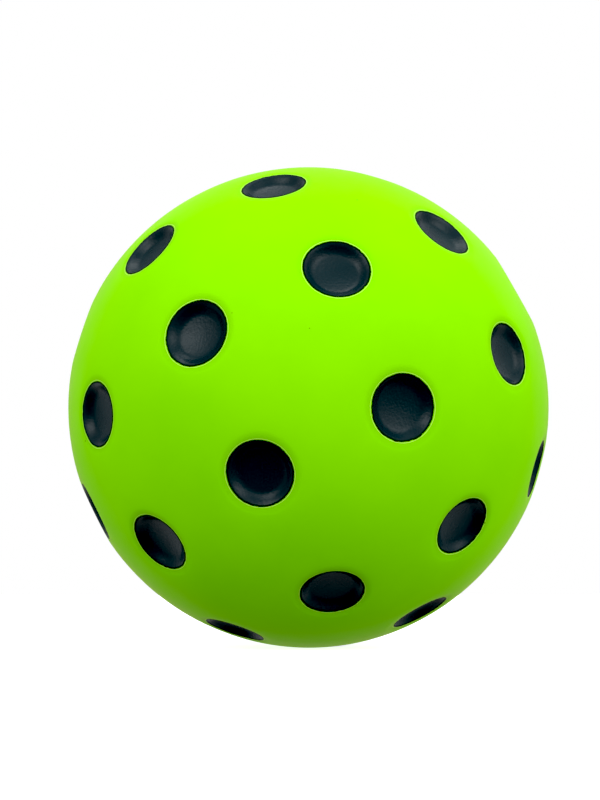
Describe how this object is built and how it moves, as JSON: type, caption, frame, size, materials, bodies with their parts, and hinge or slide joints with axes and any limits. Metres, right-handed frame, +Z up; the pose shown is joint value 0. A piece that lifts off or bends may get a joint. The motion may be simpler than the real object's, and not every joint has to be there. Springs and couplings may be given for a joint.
{
  "type": "pickleball ball",
  "caption": "Quiet foam ball for pickleball: a soft ball with a smooth lime skin and round, shallow, dark painted dimples in rings all over it.",
  "frame": {"origin": "centre of the ball", "axes": "+Z is up as the ball rests; the Y axis runs through the two poles of the dimple pattern, with the front pole on -Y and the rear pole on +Y; X is to the right seen from the front pole; the mould halves meet in the plane y = 0"},
  "size_m": [0.0742, 0.074, 0.0742],
  "materials": {
    "skin": "smooth matte moulded polyurethane skin, lime green",
    "dimple_coat": "satin flexible paint, very dark teal, with a fine pebbled grain",
    "foam": "pale open foam, never seen from outside"
  },
  "bodies": {
    "root": {"foam_core": "foam", "front_inner_dimple_coat_1": "dimple_coat", "front_inner_dimple_coat_2": "dimple_coat", "front_inner_dimple_coat_3": "dimple_coat", "front_inner_dimple_coat_4": "dimple_coat", "front_middle_dimple_coat_1": "dimple_coat", "front_middle_dimple_coat_2": "dimple_coat", "front_middle_dimple_coat_3": "dimple_coat", "front_middle_dimple_coat_4": "dimple_coat", "front_middle_dimple_coat_5": "dimple_coat", "front_middle_dimple_coat_6": "dimple_coat", "front_middle_dimple_coat_7": "dimple_coat", "front_middle_dimple_coat_8": "dimple_coat", "front_outer_dimple_coat_1": "dimple_coat", "front_outer_dimple_coat_2": "dimple_coat", "front_outer_dimple_coat_3": "dimple_coat", "front_outer_dimple_coat_4": "dimple_coat", "front_outer_dimple_coat_5": "dimple_coat", "front_outer_dimple_coat_6": "dimple_coat", "front_outer_dimple_coat_7": "dimple_coat", "front_outer_dimple_coat_8": "dimple_coat", "outer_skin": "skin", "rear_inner_dimple_coat_1": "dimple_coat", "rear_inner_dimple_coat_2": "dimple_coat", "rear_inner_dimple_coat_3": "dimple_coat", "rear_inner_dimple_coat_4": "dimple_coat", "rear_middle_dimple_coat_1": "dimple_coat", "rear_middle_dimple_coat_2": "dimple_coat", "rear_middle_dimple_coat_3": "dimple_coat", "rear_middle_dimple_coat_4": "dimple_coat", "rear_middle_dimple_coat_5": "dimple_coat", "rear_middle_dimple_coat_6": "dimple_coat", "rear_middle_dimple_coat_7": "dimple_coat", "rear_middle_dimple_coat_8": "dimple_coat", "rear_outer_dimple_coat_1": "dimple_coat", "rear_outer_dimple_coat_2": "dimple_coat", "rear_outer_dimple_coat_3": "dimple_coat", "rear_outer_dimple_coat_4": "dimple_coat", "rear_outer_dimple_coat_5": "dimple_coat", "rear_outer_dimple_coat_6": "dimple_coat", "rear_outer_dimple_coat_7": "dimple_coat", "rear_outer_dimple_coat_8": "dimple_coat"}
  },
  "joints": []
}
